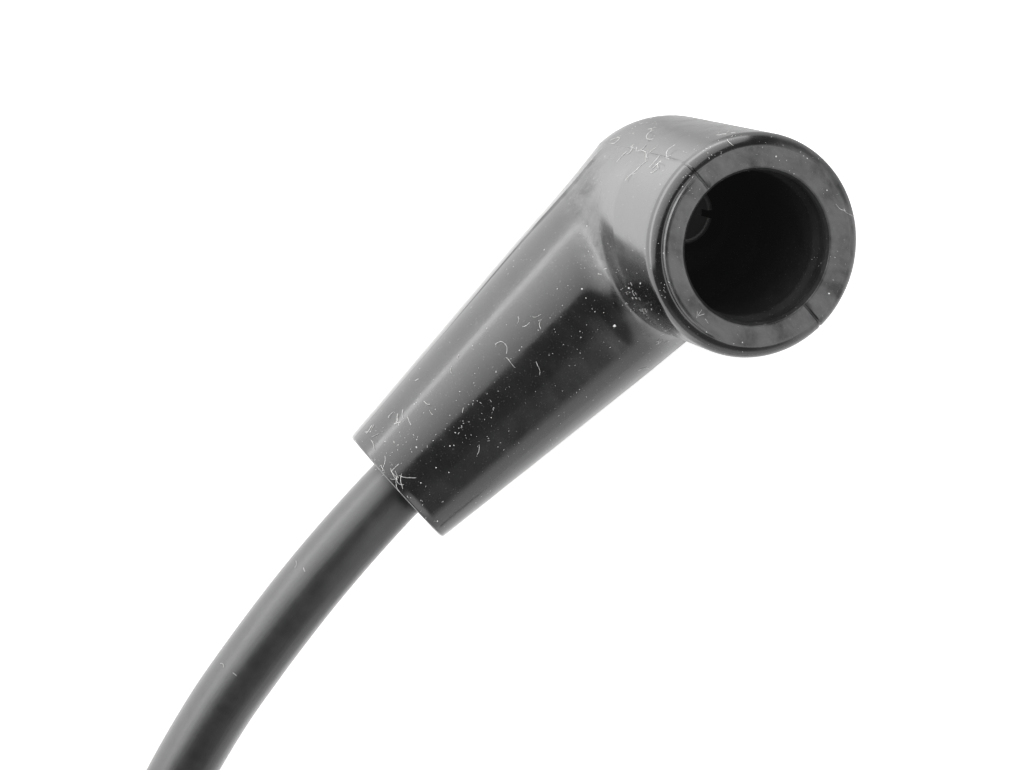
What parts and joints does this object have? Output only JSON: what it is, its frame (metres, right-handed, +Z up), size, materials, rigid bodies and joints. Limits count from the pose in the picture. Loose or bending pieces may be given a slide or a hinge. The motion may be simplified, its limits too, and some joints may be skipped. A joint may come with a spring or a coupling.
{
  "type": "spark plug wire",
  "caption": "Spark plug wire with a right-angled rubber boot on a thick round cable; the far end has a straight plug boot and the spare cable lies in a neat coil.",
  "frame": {"origin": "on the ground, below the middle of the right-angled boot", "axes": "+X along the boot's body towards the cable, +Z up out of the boot's mouth"},
  "size_m": [0.1728, 0.1318, 0.04],
  "materials": {
    "boot_rubber": "satin, moulded, dusty",
    "cable_jacket": "matte",
    "terminal_metal": "bright plated",
    "spring_steel": "bright drawn wire",
    "conductor": "fine wire wound on a fibre core"
  },
  "bodies": {
    "root": {"elbow_boot": "boot_rubber", "elbow_terminal": "terminal_metal", "elbow_conductor": "conductor", "cable_run": "cable_jacket", "cable_coil": "cable_jacket", "cable_lead_out": "cable_jacket", "plug_boot": "boot_rubber", "plug_terminal": "terminal_metal", "plug_terminal_spring": "spring_steel", "plug_conductor": "conductor"}
  },
  "joints": []
}
